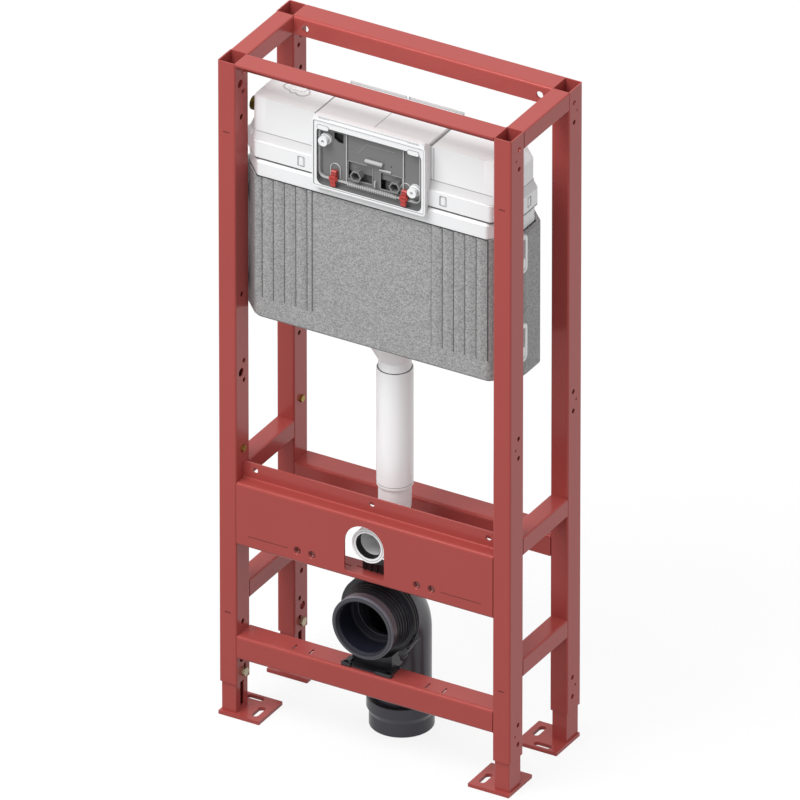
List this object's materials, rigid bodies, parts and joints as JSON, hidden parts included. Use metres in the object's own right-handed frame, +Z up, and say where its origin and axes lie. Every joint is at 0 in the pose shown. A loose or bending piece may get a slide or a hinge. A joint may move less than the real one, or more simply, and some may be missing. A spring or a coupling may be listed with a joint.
{
  "type": "wall hung toilet frame",
  "caption": "Steel installation frame on telescoping feet, with a concealed cistern in a foam shell, a flush pipe and a waste bend for a wall hung bowl.",
  "frame": {"origin": "on the floor, midway across the width and midway between the mouth of the waste bend and the wall plane", "axes": "+Z up, +X to the right seen from the front, +Y from the bowl side to the wall behind"},
  "size_m": [0.5, 0.219, 1.116],
  "materials": {
    "red_powder_coat": "satin powder coat",
    "zinc_steel": "zinc plated",
    "brass": "turned brass",
    "grey_foam": "moulded bead foam",
    "grey_plastic": "translucent moulded",
    "red_plastic": "moulded",
    "black_plastic": "satin moulded",
    "white_plastic": "satin moulded"
  },
  "bodies": {
    "frame": {"back_rail_middle": "red_powder_coat", "bend_holder": "black_plastic", "bend_strap": "black_plastic", "clamp_bolts": "zinc_steel", "cover_knobs": "white_plastic", "flush_holder": "black_plastic", "flush_neck": "white_plastic", "flush_pipe": "white_plastic", "flush_ring": "white_plastic", "flush_sleeve": "white_plastic", "inlet_nipple": "brass", "insulation_shell": "grey_foam", "latch_left": "red_plastic", "latch_right": "red_plastic", "lower_crossbar": "red_powder_coat", "mounting_plate": "red_powder_coat", "post_back_left": "red_powder_coat", "post_back_right": "red_powder_coat", "post_front_left": "red_powder_coat", "post_front_right": "red_powder_coat", "push_tubes": "grey_plastic", "rail_bolts": "brass", "service_frame": "white_plastic", "side_clips": "white_plastic", "side_rail_lower_left": "red_powder_coat", "side_rail_lower_right": "red_powder_coat", "side_rail_upper_left": "red_powder_coat", "side_rail_upper_right": "red_powder_coat", "splash_cover": "grey_plastic", "strap_lever": "black_plastic", "tank_lower": "white_plastic", "tank_upper": "white_plastic", "top_rail_back": "red_powder_coat", "top_rail_front": "red_powder_coat", "top_rail_left": "red_powder_coat", "top_rail_right": "red_powder_coat", "valve_carrier": "grey_plastic", "waste_adapter": "black_plastic", "waste_bend": "black_plastic", "waste_mouth": "black_plastic"},
    "foot_front_left": {"foot_front_left": "red_powder_coat"},
    "foot_front_right": {"foot_front_right": "red_powder_coat"},
    "foot_back_left": {"foot_back_left": "red_powder_coat"},
    "foot_back_right": {"foot_back_right": "red_powder_coat"}
  },
  "joints": [
    {"name": "foot_front_left_slide", "type": "slide", "parent": "frame", "child": "foot_front_left", "axis": [0, 0, -1], "range_m": [-0.045, 0.15]},
    {"name": "foot_front_right_slide", "type": "slide", "parent": "frame", "child": "foot_front_right", "axis": [0, 0, -1], "range_m": [-0.045, 0.15]},
    {"name": "foot_back_left_slide", "type": "slide", "parent": "frame", "child": "foot_back_left", "axis": [0, 0, -1], "range_m": [-0.045, 0.15]},
    {"name": "foot_back_right_slide", "type": "slide", "parent": "frame", "child": "foot_back_right", "axis": [0, 0, -1], "range_m": [-0.045, 0.15]}
  ]
}
